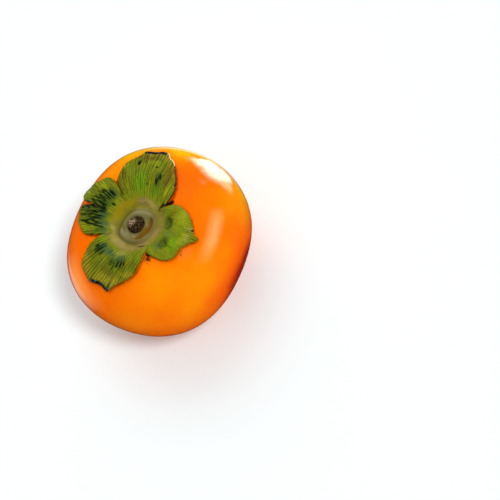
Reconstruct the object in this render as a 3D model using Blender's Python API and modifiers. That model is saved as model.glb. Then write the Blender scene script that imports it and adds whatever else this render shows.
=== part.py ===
"""A flat, four-lobed persimmon with its calyx and stem stub, standing on its blossom end.

Metres, +Z up along the fruit's core, the foot at height 0. The fruit is one solid. The calyx lies
on it as one leathery sheet, the stem stub stands in the calyx's ring, and the dried rest of the
style sits in the dimple under the foot. Neighbouring pieces keep a gap of about 0.3 mm.
"""
import math

import bmesh
import bpy

# The fruit: a flattened globe whose profile is a superellipse, a little rounder than an ellipse.
FRUIT_RADIUS = 0.039
CROWN_RISE = 0.0255
BASE_DROP = 0.0321
PROFILE_POWER = 2.2
OUT_OF_ROUND = 0.036
OUT_OF_ROUND_TURN = math.radians(17)
LOBE_SWELL = 0.020
LOBE_SWELL_TURN = math.radians(65)
FRUIT_SEGMENTS = 64
FRUIT_RINGS = 44

# The basin under the calyx, and the blossom end: a flat foot round a shallow dimple.
BASIN_RADIUS = 0.020
BASIN_DEPTH = 0.0056
FOOT_CUT = 0.0008
DIMPLE_RADIUS = 0.0058
DIMPLE_DEPTH = 0.0022
WIDEST_LEVEL = BASE_DROP - FOOT_CUT

# The calyx: its disc, the raised ring round the stem, and its four lobes.
PIECE_GAP = 0.0003
CALYX_GAP = 0.0004
BLADE_THICKNESS = 0.0008
DISC_THICKNESS = 0.0012
RING_THICKNESS = 0.0026
RING_RADIUS = 0.0064
RING_WIDTH = 0.0014
RING_CENTRE = (-0.0016, -0.0022)
RING_KNUCKLE = 0.0012
RING_KNUCKLE_TURN = math.radians(150)
DISC_RADIUS = 0.0105
DISC_RINGS = 5
LOBE_RINGS = 8
SPOKE_TURN = 3.2

# Each lobe's edge, walked anticlockwise from cleft to cleft: the turn in degrees, the reach from
# the core in millimetres. Both ends of a lobe lie in the clefts that it shares with its neighbours.
BROAD_LOBE = ((-24, 11.5), (-21.5, 16), (-15, 18.8), (3, 24), (12, 27), (19, 28.8), (23.5, 30.5),
              (41.5, 30.6), (44, 29.2), (54.5, 27.2), (65, 21.6), (71, 18), (72.5, 13.8))
NOTCHED_LOBE = ((72.5, 13.8), (73.5, 20.3), (76, 23.3), (82, 25.9), (93, 27.9), (99, 29.5),
                (105.5, 26.9), (108, 21), (110.5, 26.2), (117, 26.7), (131, 25), (139, 22.9),
                (149.5, 17.2), (152.5, 14.8))
BLUNT_LOBE = ((152.5, 14.8), (153.5, 18.1), (158.5, 23.5), (167, 27.8), (175, 29.1), (180, 29.6),
              (190, 28.5), (198.5, 29.4), (203, 27.3), (221, 22.8), (233, 18), (242, 15))
POINTED_LOBE = ((242, 15), (251.5, 18.9), (258, 21.5), (268, 23), (276, 22.6), (285.5, 24),
                (293, 26.4), (295, 24.8), (305, 23.3), (323, 19.7), (333, 14.6), (336, 11.5))
LOBES = (BROAD_LOBE, NOTCHED_LOBE, BLUNT_LOBE, POINTED_LOBE)

# How the sheet stands off the skin: each lobe swells a little along its middle, soft folds run
# out along it, and its edge curls up in places.
LOBE_PILLOW = 0.0006
FOLD_HEIGHT = 0.0005
FOLDS_AROUND = 26
EDGE_CURL = 0.0009

# The stem stub, a little oval, off the core, and cut off a little aslant. The middle of the calyx
# is drawn over with it, and its lobes are not.
STEM_CENTRE = (-0.0012, -0.0003)
STEM_DRAW_RADIUS = 0.013
STEM_RADIUS = 0.0035
STEM_OVAL = 0.93
STEM_HEIGHT = 0.0045
STEM_FLARE = 0.0005
STEM_SLANT = math.radians(6)
STEM_SEGMENTS = 20
STEM_BEVEL = 0.0006

# The dried rest of the style, a small blunt cone that hangs in the dimple above the foot's level.
STYLE_TOP = 0.00155
STYLE_RADIUS = 0.0008
STYLE_LENGTH = 0.0011
STYLE_POINT_RADIUS = 0.0003
STYLE_SEGMENTS = 10


def smooth_step(low, high, value):
    """0 below low, 1 above high, and a smooth rise between."""
    share = min(1.0, max(0.0, (value - low) / (high - low)))
    return share * share * (3 - 2 * share)


def roundness(around):
    """The fruit's girth at this turn as a share of its mean: slightly oval and four-lobed."""
    oval = OUT_OF_ROUND * math.cos(2 * (around - OUT_OF_ROUND_TURN))
    lobed = LOBE_SWELL * math.cos(4 * (around - LOBE_SWELL_TURN))
    return 1 + oval + lobed


def basin_drop(reach):
    """How far the basin lowers the crown at this reach from the core."""
    return BASIN_DEPTH * (1 - smooth_step(0.25 * BASIN_RADIUS, BASIN_RADIUS, reach))


def crown_point(around, reach):
    """The point of the upper skin straight above a spot of the plan."""
    share = min(0.999, reach / (FRUIT_RADIUS * roundness(around)))
    rise = CROWN_RISE * (1 - share ** PROFILE_POWER) ** (1 / PROFILE_POWER)
    height = WIDEST_LEVEL + rise - basin_drop(reach)
    return (reach * math.cos(around), reach * math.sin(around), height)


def crown_normal(around, reach):
    """The upper skin's outward direction, from two short steps along the skin."""
    step = 0.0001
    nearer = crown_point(around, max(0.0, reach - step))
    further = crown_point(around, reach + step)
    run = 2 * step if reach > step else reach + step
    slope = (further[2] - nearer[2]) / run
    length = math.hypot(1, slope)
    return (-slope * math.cos(around) / length, -slope * math.sin(around) / length, 1 / length)


def lobe_reach(edge, turn):
    """The lobe's edge at this turn: a smooth curve through its points, without overshoot."""
    turns = [point[0] for point in edge]
    reaches = [point[1] for point in edge]
    span = 0
    while span < len(edge) - 2 and turn > turns[span + 1]:
        span += 1
    slopes = [(reaches[i + 1] - reaches[i]) / (turns[i + 1] - turns[i]) for i in range(len(edge) - 1)]

    def lean(i):
        if i == 0 or i == len(edge) - 1 or slopes[i - 1] * slopes[i] <= 0:
            return 0.0 if 0 < i < len(edge) - 1 else slopes[min(i, len(slopes) - 1)]
        return 2 * slopes[i - 1] * slopes[i] / (slopes[i - 1] + slopes[i])

    width = turns[span + 1] - turns[span]
    share = (turn - turns[span]) / width
    start_lean = width * lean(span)
    end_lean = width * lean(span + 1)
    rise = reaches[span + 1] - reaches[span]
    bend = start_lean + end_lean - 2 * rise
    turn_in = 3 * rise - 2 * start_lean - end_lean
    return 0.001 * (reaches[span] + share * (start_lean + share * (turn_in + share * bend)))


def calyx_spokes():
    """(around, edge reach) of every spoke: through each edge point, with evenly spaced ones between."""
    spokes = []
    for edge in LOBES:
        for (start, _), (end, _) in zip(edge, edge[1:]):
            steps = math.ceil((end - start) / SPOKE_TURN)
            for step in range(steps):
                turn = start + (end - start) * step / steps
                spokes.append((math.radians(turn), lobe_reach(edge, turn)))
    return spokes


def sheet_lift(around, share):
    """The height of the calyx's underside over the skin, from the disc (0) to the edge (1)."""
    pillow = LOBE_PILLOW * math.sin(math.pi * share) ** 2
    fold = 0.5 + 0.5 * math.sin(FOLDS_AROUND * around + 2 * math.sin(3 * around))
    curl = EDGE_CURL * smooth_step(0.7, 1.0, share) * (0.4 + 0.6 * math.sin(2 * around + 1.0) ** 2)
    return CALYX_GAP + pillow + FOLD_HEIGHT * fold * smooth_step(0.15, 0.75, share) + curl


def calyx_thickness(spot, share):
    """Thick at the off-centre ring, thinner over the disc, and a blade's thickness in the lobes."""
    blade = DISC_THICKNESS + (BLADE_THICKNESS - DISC_THICKNESS) * smooth_step(0.0, 0.4, share)
    across, along = spot[0] - RING_CENTRE[0], spot[1] - RING_CENTRE[1]
    knuckle = math.cos(math.atan2(along, across) - RING_KNUCKLE_TURN)
    crest = RING_RADIUS + RING_KNUCKLE * knuckle ** 6
    ring = math.exp(-((math.hypot(across, along) - crest) / RING_WIDTH) ** 2)
    return blade + (RING_THICKNESS - DISC_THICKNESS) * ring


def new_material(name, colour, roughness):
    material = bpy.data.materials.new(name)
    material.use_nodes = True
    shader = material.node_tree.nodes["Principled BSDF"]
    shader.inputs["Base Color"].default_value = (*colour, 1.0)
    shader.inputs["Roughness"].default_value = roughness
    shader.inputs["Metallic"].default_value = 0.0
    return material


def new_piece(name, shape, material):
    """A named object of this bmesh, shaded smooth except at its sharp edges."""
    mesh = bpy.data.meshes.new(name)
    shape.to_mesh(mesh)
    shape.free()
    mesh.materials.append(material)
    mesh.shade_smooth()
    mesh.set_sharp_from_angle(angle=math.radians(40))
    piece = bpy.data.objects.new(name, mesh)
    collection.objects.link(piece)
    return piece


def make_fruit():
    """A sphere whose points are moved onto the flattened globe, its basin, foot and dimple."""
    shape = bmesh.new()
    bmesh.ops.create_uvsphere(shape, u_segments=FRUIT_SEGMENTS, v_segments=FRUIT_RINGS, radius=1)
    for vert in shape.verts:
        around = math.atan2(vert.co.y, vert.co.x)
        plan = math.hypot(vert.co.x, vert.co.y)
        reach = FRUIT_RADIUS * roundness(around) * plan ** (2 / PROFILE_POWER)
        rise = abs(vert.co.z) ** (2 / PROFILE_POWER)
        if vert.co.z > 0:
            height = WIDEST_LEVEL + CROWN_RISE * rise - basin_drop(reach)
        else:
            height = max(0.0, WIDEST_LEVEL - BASE_DROP * rise)
            height += DIMPLE_DEPTH * (1 - smooth_step(0, DIMPLE_RADIUS, reach))
        vert.co = (reach * math.cos(around), reach * math.sin(around), height)
    skin = new_material("persimmon_skin", (0.95, 0.25, 0.01), 0.25)
    return new_piece("fruit", shape, skin)


def make_calyx():
    """A ring of faces round the stem hole, drawn out spoke by spoke to the lobes' edges."""
    shape = bmesh.new()
    spokes = calyx_spokes()
    hole = STEM_RADIUS + STEM_FLARE + PIECE_GAP
    ring_count = DISC_RINGS + LOBE_RINGS
    bmesh.ops.create_grid(shape, x_segments=ring_count, y_segments=len(spokes), size=1)
    thickness = shape.verts.layers.deform.verify()
    for vert in shape.verts:
        ring = round((vert.co.x + 1) / 2 * ring_count)
        spoke = round((vert.co.y + 1) / 2 * len(spokes)) % len(spokes)
        around, edge = spokes[spoke]
        share = max(0.0, (ring - DISC_RINGS) / LOBE_RINGS)
        if ring <= DISC_RINGS:
            reach = hole + (DISC_RADIUS - hole) * ring / DISC_RINGS
        else:
            reach = DISC_RADIUS + (edge - DISC_RADIUS) * share
        drawn = 1 - smooth_step(hole, STEM_DRAW_RADIUS, reach)
        spot = (reach * math.cos(around) + drawn * STEM_CENTRE[0],
                reach * math.sin(around) + drawn * STEM_CENTRE[1])
        bearing, distance = math.atan2(spot[1], spot[0]), math.hypot(*spot)
        foot = crown_point(bearing, distance)
        normal = crown_normal(bearing, distance)
        lift = sheet_lift(around, share)
        vert.co = [foot[axis] + lift * normal[axis] for axis in range(3)]
        vert[thickness][0] = calyx_thickness(spot, share) / RING_THICKNESS
    seam = [vert for vert in shape.verts if vert.is_boundary]
    bmesh.ops.remove_doubles(shape, verts=seam, dist=0.00001)
    bmesh.ops.triangulate(shape, faces=shape.faces)
    green = new_material("calyx_green", (0.14, 0.20, 0.02), 0.5)
    calyx = new_piece("calyx", shape, green)
    calyx.vertex_groups.new(name="thickness")
    sheet = calyx.modifiers.new("sheet", "SOLIDIFY")
    sheet.thickness = RING_THICKNESS
    sheet.offset = 1
    sheet.vertex_group = "thickness"
    return calyx


def make_stem():
    """A short cylinder, a little oval, flared at its base and cut a little aslant."""
    shape = bmesh.new()
    bmesh.ops.create_cone(shape, cap_ends=True, segments=STEM_SEGMENTS, radius1=STEM_RADIUS + STEM_FLARE,
                          radius2=STEM_RADIUS, depth=STEM_HEIGHT)
    seat = crown_point(0, 0)[2] + PIECE_GAP
    for vert in shape.verts:
        vert.co.y *= STEM_OVAL
        vert.co.z += seat + STEM_HEIGHT / 2
        if vert.co.z > seat + STEM_HEIGHT / 2:
            vert.co.z += vert.co.x * math.tan(STEM_SLANT)
        vert.co.x += STEM_CENTRE[0]
        vert.co.y += STEM_CENTRE[1]
    shape.normal_update()
    rims = [edge for edge in shape.edges if len({face.normal.z > 0.5 for face in edge.link_faces}) == 2]
    bmesh.ops.bevel(shape, geom=rims, offset=STEM_BEVEL, segments=2, profile=0.5, affect="EDGES")
    wood = new_material("stem_brown", (0.09, 0.06, 0.03), 0.8)
    return new_piece("stem", shape, wood)


def make_style_tip():
    """A small blunt cone in the dimple, pointing down and ending above the foot's level."""
    shape = bmesh.new()
    bmesh.ops.create_cone(shape, cap_ends=True, segments=STYLE_SEGMENTS, radius1=STYLE_POINT_RADIUS,
                          radius2=STYLE_RADIUS, depth=STYLE_LENGTH)
    for vert in shape.verts:
        vert.co.z += STYLE_TOP - STYLE_LENGTH / 2
    dried = new_material("style_dark", (0.02, 0.012, 0.008), 0.8)
    return new_piece("style_tip", shape, dried)


for leftover in list(bpy.data.objects):
    bpy.data.objects.remove(leftover)
collection = bpy.data.collections.new("persimmon")
bpy.context.scene.collection.children.link(collection)
make_fruit()
make_calyx()
make_stem()
make_style_tip()
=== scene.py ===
import math
import random

import bmesh
import bpy
from mathutils import Matrix, Vector, kdtree, noise


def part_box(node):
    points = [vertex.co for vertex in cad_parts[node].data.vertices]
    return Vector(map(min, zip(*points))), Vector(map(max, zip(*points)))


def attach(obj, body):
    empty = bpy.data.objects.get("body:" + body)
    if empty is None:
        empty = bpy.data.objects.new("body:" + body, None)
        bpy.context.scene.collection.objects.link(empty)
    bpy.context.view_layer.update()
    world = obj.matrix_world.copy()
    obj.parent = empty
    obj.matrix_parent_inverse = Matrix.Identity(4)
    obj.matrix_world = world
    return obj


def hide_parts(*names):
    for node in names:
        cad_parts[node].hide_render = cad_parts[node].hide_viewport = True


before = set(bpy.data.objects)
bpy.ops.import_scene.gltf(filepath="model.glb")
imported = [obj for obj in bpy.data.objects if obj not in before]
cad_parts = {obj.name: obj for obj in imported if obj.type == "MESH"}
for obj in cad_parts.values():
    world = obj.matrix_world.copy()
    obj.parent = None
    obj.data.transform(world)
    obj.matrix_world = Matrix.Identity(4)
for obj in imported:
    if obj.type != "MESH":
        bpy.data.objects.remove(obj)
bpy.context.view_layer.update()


# ------------------------------------------------------------------------------
# The fruit: one body of firm flesh under a thin waxy skin. It is a flattened globe, slightly oval
# and four-lobed, with a basin where the calyx sits and a flat foot round a dimple at the blossom
# end. It has ripened unevenly, golden on the far shoulder; the deep red low on one flank is partly
# a ripe blush and partly painted shade.
MM = 0.001  # a millimetre in metres
PROFILE_POWER = 2.2  # above 2 the profile is fuller than an ellipse
CROWN_RISE = 0.0255
BASE_DROP = 0.0321
FOOT_CUT = 0.0008
WIDEST_LEVEL = BASE_DROP - FOOT_CUT
OUT_OF_ROUND = 0.036
OUT_OF_ROUND_TURN = math.radians(17)
LOBE_SWELL = 0.020
LOBE_SWELL_TURN = math.radians(65)
BASIN_RADIUS = 0.020
BASIN_FLOOR = 0.25  # the share of the basin's radius that is level
BASIN_DEPTH = 0.0056
DIMPLE_RADIUS = 0.0058
DIMPLE_DEPTH = 0.0022
SKIN_SEGMENTS = 256
SKIN_RINGS = 160
SKIN_FIT = 0.999  # keeps the finer skin just inside the solid's box
CROWN_RIM = 0.999  # the crown is read no nearer its upright rim
SKIN_WAVE = 0.00016  # how far the skin sinks between its softest bulges
SKIN_WAVES = 2.6  # bulges across the fruit's radius


def smooth_step(low, high, value):
    """0 below low, 1 above high, and a smooth rise between. It falls instead where low is above high."""
    share = min(1.0, max(0.0, (value - low) / (high - low)))
    return share * share * (3 - 2 * share)


def roundness(around):
    """The fruit's girth at this turn as a share of its mean: slightly oval and four-lobed."""
    oval = OUT_OF_ROUND * math.cos(2 * (around - OUT_OF_ROUND_TURN))
    lobed = LOBE_SWELL * math.cos(4 * (around - LOBE_SWELL_TURN))
    return 1 + oval + lobed


# The girth is set so that the fruit's widest point, near +X, just fills its solid's box.
fruit_low, fruit_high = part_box("fruit")
turns_near_x = [math.radians(turn) for turn in range(-30, 31)]
widest_share = max(roundness(around) * math.cos(around) for around in turns_near_x)
FRUIT_RADIUS = SKIN_FIT * (fruit_high.x - fruit_low.x) / 2 / widest_share


def basin_drop(reach):
    """How far the basin lowers the crown at this reach from the core."""
    return BASIN_DEPTH * (1 - smooth_step(BASIN_FLOOR * BASIN_RADIUS, BASIN_RADIUS, reach))


def paint(red, green, blue):
    """A colour as read off a swatch, 0 to 255 a channel, made linear and opaque."""
    channels = []
    for value in (red, green, blue):
        value /= 255
        channels.append(value / 12.92 if value <= 0.04045 else ((value + 0.055) / 1.055) ** 2.4)
    return (*channels, 1.0)


def new_material(name):
    """A material with its node tree and its Principled shader."""
    material = bpy.data.materials.new(name)
    material.use_nodes = True
    return material, material.node_tree, material.node_tree.nodes["Principled BSDF"]


def feed(tree, node, inputs):
    """Gives a node its inputs: each is a value, or another node's output to link."""
    for name, value in inputs.items():
        if isinstance(value, bpy.types.NodeSocket):
            tree.links.new(value, node.inputs[name])
        else:
            node.inputs[name].default_value = value


def add_node(tree, kind, inputs=None, **settings):
    """A node with these settings and inputs."""
    node = tree.nodes.new(kind)
    for name, value in settings.items():
        setattr(node, name, value)
    feed(tree, node, inputs or {})
    return node


def blend_colours(tree, mask, under, over):
    """The colour under, covered by the colour over where the mask is 1."""
    node = add_node(tree, "ShaderNodeMix", {0: mask, 6: under, 7: over}, data_type="RGBA")
    return node.outputs[2]


def ramp(tree, value, stops):
    """A colour ramp over the value, from a few (place, colour) stops."""
    node = add_node(tree, "ShaderNodeValToRGB", {"Fac": value})
    elements = node.color_ramp.elements
    while len(elements) < len(stops):
        elements.new(0.5)
    for element, (place, colour) in zip(elements, stops):
        element.position = place
        element.color = colour
    return node.outputs["Color"]


def spread(tree, value, low, high, least=0.0, most=1.0):
    """The value from low to high, spread over least to most and held inside them."""
    node = add_node(tree, "ShaderNodeMapRange", {"Value": value, "From Min": low, "From Max": high,
                                                 "To Min": least, "To Max": most})
    return node.outputs["Result"]


def joined(tree, first, second, operation="MULTIPLY"):
    """Two values joined by a math operation."""
    return add_node(tree, "ShaderNodeMath", {0: first, 1: second}, operation=operation).outputs["Value"]


def attribute(tree, name, output="Fac"):
    """A value that the mesh carries at each point."""
    return add_node(tree, "ShaderNodeAttribute", attribute_name=name).outputs[output]


def object_place(tree):
    """The point's own place on the object."""
    return add_node(tree, "ShaderNodeTexCoord").outputs["Object"]


def raised(tree, height, distance, strength=1.0, under=None, invert=False):
    """A normal that stands up, or sinks if inverted, by this height mask, over another if given."""
    inputs = {"Height": height, "Strength": strength, "Distance": distance}
    if under is not None:
        inputs["Normal"] = under
    return add_node(tree, "ShaderNodeBump", inputs, invert=invert).outputs["Normal"]


def new_piece(name, shape, material):
    """A smooth-shaded object of this bmesh, riding on the one body, with its material slot."""
    mesh = bpy.data.meshes.new(name)
    shape.to_mesh(mesh)
    shape.free()
    mesh.materials.append(material)
    mesh.shade_smooth()
    piece = bpy.data.objects.new(name, mesh)
    bpy.context.scene.collection.objects.link(piece)
    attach(piece, "root")
    return piece


# Fine mottling, which skin, leaf, bark and crumbs all show, each at its own size and strength.
NOISE_LOW = 0.3  # most of the noise lies between these two values
NOISE_HIGH = 0.7

mottling = bpy.data.node_groups.new("mottling", "ShaderNodeTree")
for socket, kind in (("Place", "Vector"), ("Scale", "Float"), ("Detail", "Float"), ("Least", "Float"),
                     ("Most", "Float")):
    mottling.interface.new_socket(socket, in_out="INPUT", socket_type="NodeSocket" + kind)
mottling.interface.new_socket("Mask", in_out="OUTPUT", socket_type="NodeSocketFloat")
given = add_node(mottling, "NodeGroupInput").outputs
cloud = add_node(mottling, "ShaderNodeTexNoise", {"Vector": given["Place"], "Scale": given["Scale"],
                                                  "Detail": given["Detail"]}).outputs["Fac"]
cloud = spread(mottling, cloud, NOISE_LOW, NOISE_HIGH, given["Least"], given["Most"])
add_node(mottling, "NodeGroupOutput", {"Mask": cloud})


def mottled(tree, place, scale, least=0.0, most=1.0, detail=3.0):
    """Mottling at this place, from least to most. The scale is in clouds to a metre."""
    inputs = {"Place": place, "Scale": scale, "Detail": detail, "Least": least, "Most": most}
    return add_node(tree, "ShaderNodeGroup", inputs, node_tree=mottling).outputs["Mask"]


# Where the skin has ripened further (positive) or less (negative): centre in mm, radius in mm, amount.
# The two deepest patches, low on the -Y flank, are partly a ripe blush and partly painted shade.
RIPENESS_AND_SHADE_PATCHES = (
    ((20, 2, 50), 18, 0.2), ((10, 27, 47), 14, -0.25), ((-22, 18, 44), 18, 0.08), ((8, -36, 38), 13, -0.22),
    ((34, 10, 40), 12, -0.15), ((33, -21, 34), 12, -0.21), ((12, -36, 19), 17, 0.58),
    ((22, -31, 18), 12, 0.27), ((-30, -18, 42), 12, -0.15), ((-14, -23, 49), 9, -0.12),
    ((36, -12, 28), 12, -0.36), ((34, 16, 37), 10, -0.5), ((38, 3, 35), 9, -0.3), ((22, 30, 40), 10, -0.45),
    ((-12, -32, 38), 16, -0.12), ((33, 10, 47), 7, -0.25))
USUAL_RIPENESS = 0.5


def ripeness_and_shade(spot):
    """The usual ripeness on most of the skin, about 1 in its reddest patches, which are partly painted shade,
    and 0 in its yellowest.
    """
    ripe_and_shade = USUAL_RIPENESS
    for centre, radius, amount in RIPENESS_AND_SHADE_PATCHES:
        away = (spot - MM * Vector(centre)).length / (MM * radius)
        ripe_and_shade += amount * math.exp(-away * away)
    return ripe_and_shade


skin_shape = bmesh.new()
bmesh.ops.create_uvsphere(skin_shape, u_segments=SKIN_SEGMENTS, v_segments=SKIN_RINGS, radius=1)
ripe_and_shade_layer = skin_shape.verts.layers.float.new("ripe_and_shade")
for vert in skin_shape.verts:
    around = math.atan2(vert.co.y, vert.co.x)
    girth = math.hypot(vert.co.x, vert.co.y)
    sink = SKIN_WAVE * (0.5 + 0.5 * noise.noise(SKIN_WAVES * vert.co))
    reach = (FRUIT_RADIUS * roundness(around) - sink) * girth ** (2 / PROFILE_POWER)
    rise = abs(vert.co.z) ** (2 / PROFILE_POWER)
    if vert.co.z > 0:
        height = WIDEST_LEVEL + (CROWN_RISE - sink) * rise - basin_drop(reach)
    else:
        height = max(0.0, WIDEST_LEVEL - BASE_DROP * rise)
        height += DIMPLE_DEPTH * (1 - smooth_step(0, DIMPLE_RADIUS, reach))
    vert.co = (reach * math.cos(around), reach * math.sin(around), height)
    vert[ripe_and_shade_layer] = ripeness_and_shade(vert.co)

# Waxy skin: golden to deep red by ripeness, and by painted shade low on one flank, clouded a little and
# faintly freckled, with soft dents and pores, and brown along the calyx's edge as painted contact shade
# and dirt.
SKIN_COLOURS = ((0.0, paint(255, 186, 4)), (0.2, paint(255, 147, 1)), (0.5, paint(252, 112, 1)),
                (0.75, paint(248, 92, 1)), (1.0, paint(176, 32, 1)))
SHADE_AND_DIRT_BROWN = paint(96, 24, 4)
CLOUD_SCALE = 55
CLOUD_RIPENESS = 0.10  # how far the clouds and the freckles stray from the ripeness around them
FRECKLE_SCALE = 900
FRECKLE_RIPENESS = 0.03
SEAM_SCALE = 700
SEAM_PATCHINESS = (0.35, 1.0)
WAX_SCALE = 80
WAX_ROUGHNESS = (0.07, 0.11)
WAX_IOR = 1.4
DENT_SCALE = 160
DENT_STRENGTH = 0.3
PORE_SCALE = 1400
PORE_STRENGTH = 0.05
PORE_DEPTH = 0.0001

skin_material, tree, shader = new_material("persimmon_skin")
place = object_place(tree)
clouds = mottled(tree, place, CLOUD_SCALE, -CLOUD_RIPENESS, CLOUD_RIPENESS)
freckles = mottled(tree, place, FRECKLE_SCALE, -FRECKLE_RIPENESS, FRECKLE_RIPENESS, 2)
ripe_and_shade = joined(tree, attribute(tree, "ripe_and_shade"), clouds, "ADD")
orange = ramp(tree, joined(tree, ripe_and_shade, freckles, "ADD"), SKIN_COLOURS)
seam_shade_and_dirt = joined(tree, attribute(tree, "seam_shade_and_dirt"), mottled(tree, place, SEAM_SCALE, *SEAM_PATCHINESS))
orange = blend_colours(tree, seam_shade_and_dirt, orange, SHADE_AND_DIRT_BROWN)
dents = raised(tree, mottled(tree, place, DENT_SCALE, detail=1), PORE_DEPTH, DENT_STRENGTH)
pores = raised(tree, mottled(tree, place, PORE_SCALE, detail=2), PORE_DEPTH, PORE_STRENGTH, under=dents)
feed(tree, shader, {"Base Color": orange, "Roughness": mottled(tree, place, WAX_SCALE, *WAX_ROUGHNESS),
                    "IOR": WAX_IOR, "Normal": pores})

skin = new_piece("fruit_skin", skin_shape, skin_material)
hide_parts("fruit")


# ------------------------------------------------------------------------------
# The calyx: the tough green collar of the flower, grown with the fruit's top. Its disc lies in the
# basin round a raised ring, and its four lobes lie over the shoulder, ribbed by fibres that fan out
# from the disc. It has dried brown and black at the tips and along the bruised fibres.
CALYX_GAP = 0.0004
LEAST_GAP = 0.00035
BLADE_THICKNESS = 0.0007
EDGE_THICKNESS = 0.0003
EDGE_MARGIN = (-0.0002, 0.0009)  # the blade thins to its edge between these insets
DISC_THICKNESS = 0.0012
DISC_BLEND = 0.4  # the share of a lobe over which the disc's thickness runs out
RING_THICKNESS = 0.0026
RING_RADIUS = 0.0064
RING_WIDTH = 0.0014
RING_CENTRE = Vector((-0.0016, -0.0022))
RING_KNUCKLE = 0.0012
RING_KNUCKLE_TURN = math.radians(150)
RING_SHADOW_OFFSET = 0.0013  # painted shadow round the ring's outer flank, outwards from its crest
RING_SHADOW_WIDTH = 0.0006
RING_SHADOW_TURN = math.radians(155)  # the painted shadow is darkest on this side
DISC_RADIUS = 0.0105
STEM_CENTRE = Vector((-0.0012, -0.0003))
STEM_RADIUS = 0.0035
STEM_OVAL = 0.93
STEM_DRAW_RADIUS = 0.013  # inside this the disc is drawn over to the stem's own centre
LOBE_PILLOW = 0.0006
FOLD_HEIGHT = 0.0005
FOLDS_AROUND = 26
FOLD_SPAN = (0.15, 0.75)  # the shares of a lobe where its folds start and are full
EDGE_CURL = 0.0009
CURL_START = 0.7
CALYX_SPOKES = 800
DISC_RINGS = 12
LOBE_RINGS = 44
EDGE_CROWDING = 1.4  # above 1 the rings of faces crowd towards the lobes' edges
TEARS = 0.6  # tears to a degree along a lobe's edge, and finer ones between them
FINE_TEARS = 1.7
RIB_SPACING = 0.00115  # from rib to rib across the middle of a lobe
FINE_RIB_SPACING = 0.65 * RIB_SPACING
RIB_WAVER = 0.35
RIB_WAVER_SIZE = (0.003, 0.006)  # across and along the fibres, as all these sizes are
RIB_FADE_SIZE = (0.0012, 0.006)
BRUISE_SIZE = (0.00055, 0.0034)
FINE_BRUISE_SIZE = (0.0003, 0.0014)
RIB_DEPTH = 0.00018
STROKE_DEPTH = 0.00030
DIMPLE_DROP = 0.0009

# Each lobe's edge, walked anticlockwise from cleft to cleft: the turn in degrees, the reach from
# the core in millimetres. Both ends of a lobe lie in the clefts that it shares with its neighbours.
BROAD_LOBE = (
    (-24, 11.5), (-21.5, 16), (-15, 18.8), (3, 24), (12, 27), (19, 28.8), (23.5, 30.5), (41.5, 30.6),
    (44, 29.3), (50, 28.5), (56, 26.9), (61, 24.8), (66, 22.3), (71, 19.2), (72.5, 13.8))
NOTCHED_LOBE = ((72.5, 13.8), (73.5, 20.3), (76, 23.3), (82, 25.9), (93, 27.9), (99, 29.5), (106.3, 26.9),
                (108, 21), (110.2, 26.4), (117, 26.7), (131, 25), (139, 22.9), (149.5, 17.2), (152.5, 14.8))
BLUNT_LOBE = ((152.5, 14.8), (153.5, 18.1), (158.5, 23.5), (167, 27.8), (175, 29.1), (180, 29.6),
              (190, 28.5), (198.5, 29.4), (203, 27.3), (221, 22.8), (233, 18), (242, 15))
POINTED_LOBE = ((242, 15), (251.5, 18.9), (258, 21.5), (268, 23), (276, 22.6), (285.5, 24), (293, 26.4),
                (295, 24.8), (305, 23.3), (323, 19.7), (333, 14.6), (336, 11.5))
LOBES = (BROAD_LOBE, NOTCHED_LOBE, BLUNT_LOBE, POINTED_LOBE)
BROAD, BLUNT, POINTED = 0, 2, 3  # those with marks of their own
# For each lobe: the spot in mm from which its fibres fan out, how far off its middle lies in mm,
# how far its edge is torn in mm, and how plainly its ribs show.
FIBRE_SOURCES = ((-8, -9), (1, -6), (18, -9), (-2, 6))
MIDDLE_REACHES = (34, 27, 40, 24)
TORN_EDGES = (0.25, 0.9, 0.3, 0.15)
RIB_STRENGTHS = (0.75, 0.6, 0.9, 0.06)
GREEN_STARTS = (11.3, 12.2, 14.0, 13.0)  # mm from the core where the disc's khaki turns green
GREEN_WANDER = 0.0008  # how far that border strays, and over what size
GREEN_WANDER_SIZE = 0.002
GREEN_BLEND = 0.0013


def crown_point(around, reach):
    """The point of the upper skin straight above a spot of the plan."""
    share = min(CROWN_RIM, reach / (FRUIT_RADIUS * roundness(around)))
    rise = CROWN_RISE * (1 - share ** PROFILE_POWER) ** (1 / PROFILE_POWER)
    return Vector((reach * math.cos(around), reach * math.sin(around),
                   WIDEST_LEVEL + rise - basin_drop(reach)))


def crown_normal(around, reach):
    """The upper skin's outward direction, from two short steps along the skin."""
    step = 0.0001
    nearer = crown_point(around, max(0.0, reach - step))
    further = crown_point(around, reach + step)
    run = 2 * step if reach > step else reach + step
    slope = (further.z - nearer.z) / run
    return Vector((-slope * math.cos(around), -slope * math.sin(around), 1)).normalized()


def lobe_reach(edge, turn):
    """The lobe's edge at this turn: a smooth curve through its points, without overshoot."""
    turns = [point[0] for point in edge]
    reaches = [point[1] for point in edge]
    span = 0
    while span < len(edge) - 2 and turn > turns[span + 1]:
        span += 1
    slopes = [(reaches[i + 1] - reaches[i]) / (turns[i + 1] - turns[i]) for i in range(len(edge) - 1)]

    def lean(i):
        if i in (0, len(edge) - 1):
            return slopes[min(i, len(slopes) - 1)]
        if slopes[i - 1] * slopes[i] <= 0:
            return 0.0
        return 2 * slopes[i - 1] * slopes[i] / (slopes[i - 1] + slopes[i])

    width = turns[span + 1] - turns[span]
    share = (turn - turns[span]) / width
    start_lean = width * lean(span)
    end_lean = width * lean(span + 1)
    rise = reaches[span + 1] - reaches[span]
    bend = start_lean + end_lean - 2 * rise
    turn_in = 3 * rise - 2 * start_lean - end_lean
    return MM * (reaches[span] + share * (start_lean + share * (turn_in + share * bend)))


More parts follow.
